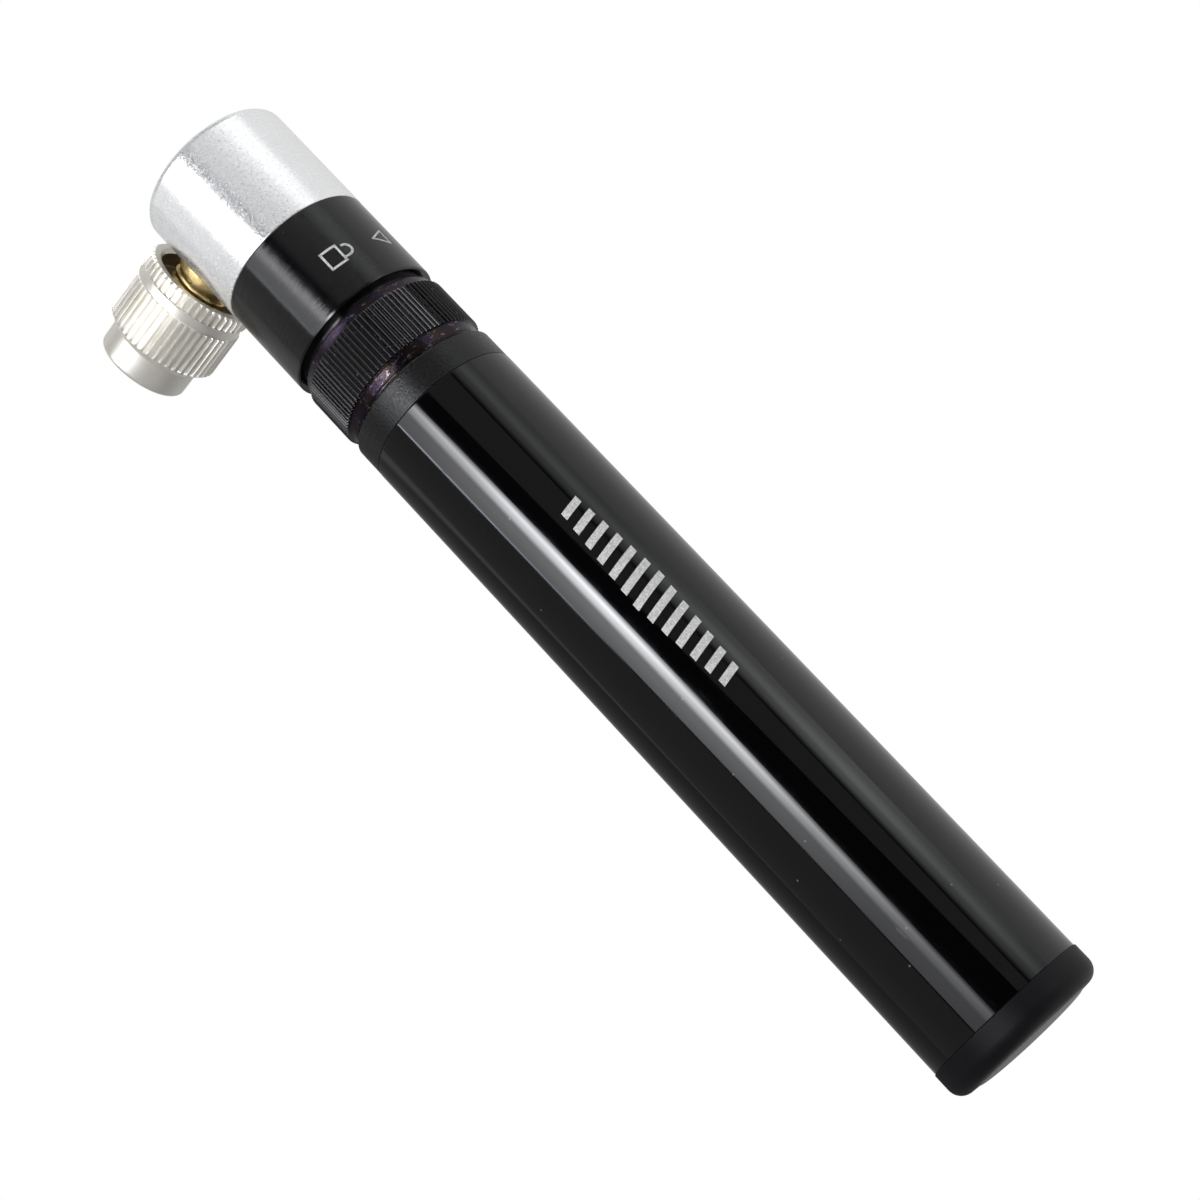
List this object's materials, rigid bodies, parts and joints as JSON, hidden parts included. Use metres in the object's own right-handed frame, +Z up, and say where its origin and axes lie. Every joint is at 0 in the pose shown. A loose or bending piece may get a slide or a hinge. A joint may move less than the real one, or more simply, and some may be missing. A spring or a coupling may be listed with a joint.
{
  "type": "mini pump",
  "caption": "Slim telescopic hand pump with a sliding barrel handle, a knurled lock ring and a screw-on valve chuck at right angles to the barrel.",
  "frame": {"origin": "centre of the end cap's flat end face", "axes": "+X along the pump's axis from the cap to the head, +Z up with the pump lying on its side, +Y the side that the chuck points to"},
  "size_m": [0.1459, 0.0371, 0.0216],
  "materials": {
    "silver_aluminium": "satin turned, clear anodised",
    "black_anodised": "black anodised, turned",
    "ring_anodised": "black anodised ridges, bronze-brown bevels",
    "gloss_black": "polished and black anodised, glossy",
    "bare_aluminium": "drawn tube, smooth",
    "matte_black_plastic": "fine spark texture",
    "black_rubber": "matt",
    "grey_plastic": "matt, fine grain",
    "nylon": "natural nylon",
    "brass": "turned",
    "nickel": "satin nickel plate on brass",
    "steel": "zinc plated",
    "felt": "felt"
  },
  "bodies": {
    "head": {"head": "silver_aluminium", "collar": "black_anodised", "inner_cylinder": "bare_aluminium", "head_o_ring": "black_rubber", "valve_seat": "brass", "valve_spring": "steel", "chuck_stud": "brass", "stud_o_ring": "black_rubber", "core_depressor": "brass", "ring_clip": "steel", "cylinder_guide": "nylon", "stop_ring": "black_rubber"},
    "lock_ring": {"lock_ring": "ring_anodised", "lock_collet": "nylon"},
    "poppet": {"check_poppet": "nylon", "poppet_seal": "black_rubber"},
    "piston": {"piston_rod": "bare_aluminium", "piston_body": "nylon", "piston_seal": "black_rubber", "piston_screw": "steel"},
    "handle": {"handle_barrel": "gloss_black", "mouth_bush": "matte_black_plastic", "wiper_ring": "felt", "end_plug": "bare_aluminium", "thrust_washer": "nylon", "swivel_nut": "brass", "closing_buffer": "black_rubber", "end_cap": "black_rubber", "cap_disc": "grey_plastic"},
    "seal": {"chuck_seal": "black_rubber", "chuck_washer": "brass"},
    "nut": {"chuck_nut": "nickel"}
  },
  "joints": [
    {"name": "handle_slide", "type": "slide", "parent": "head", "child": "piston", "axis": [-1, 0, 0], "range_m": [0, 0.073]},
    {"name": "handle_spin", "type": "hinge", "parent": "piston", "child": "handle", "pos_m": [0.0066, 0, 0], "axis": [1, 0, 0], "continuous": true},
    {"name": "lock_turn", "type": "hinge", "parent": "head", "child": "lock_ring", "pos_m": [0.1101, 0, 0], "axis": [1, 0, 0], "range_deg": [0, 60]},
    {"name": "valve_lift", "type": "slide", "parent": "head", "child": "poppet", "axis": [1, 0, 0], "range_m": [0, 0.0012], "stiffness_N_per_m": 40, "springref_m": -0.001, "deforming": ["valve_spring"]},
    {"name": "chuck_travel", "type": "slide", "parent": "head", "child": "seal", "axis": [0, 0.9882, -0.1534], "range_m": [-0.0005, 0.0015]},
    {"name": "chuck_turn", "type": "hinge", "parent": "seal", "child": "nut", "pos_m": [0.1379, 0.01779, -0.00276], "axis": [0, 0.9882, -0.1534], "range_deg": [-180, 540]}
  ],
  "couplings": [
    {"joint": "chuck_turn", "follows": "chuck_travel", "rad_per_m": 6283.2}
  ]
}
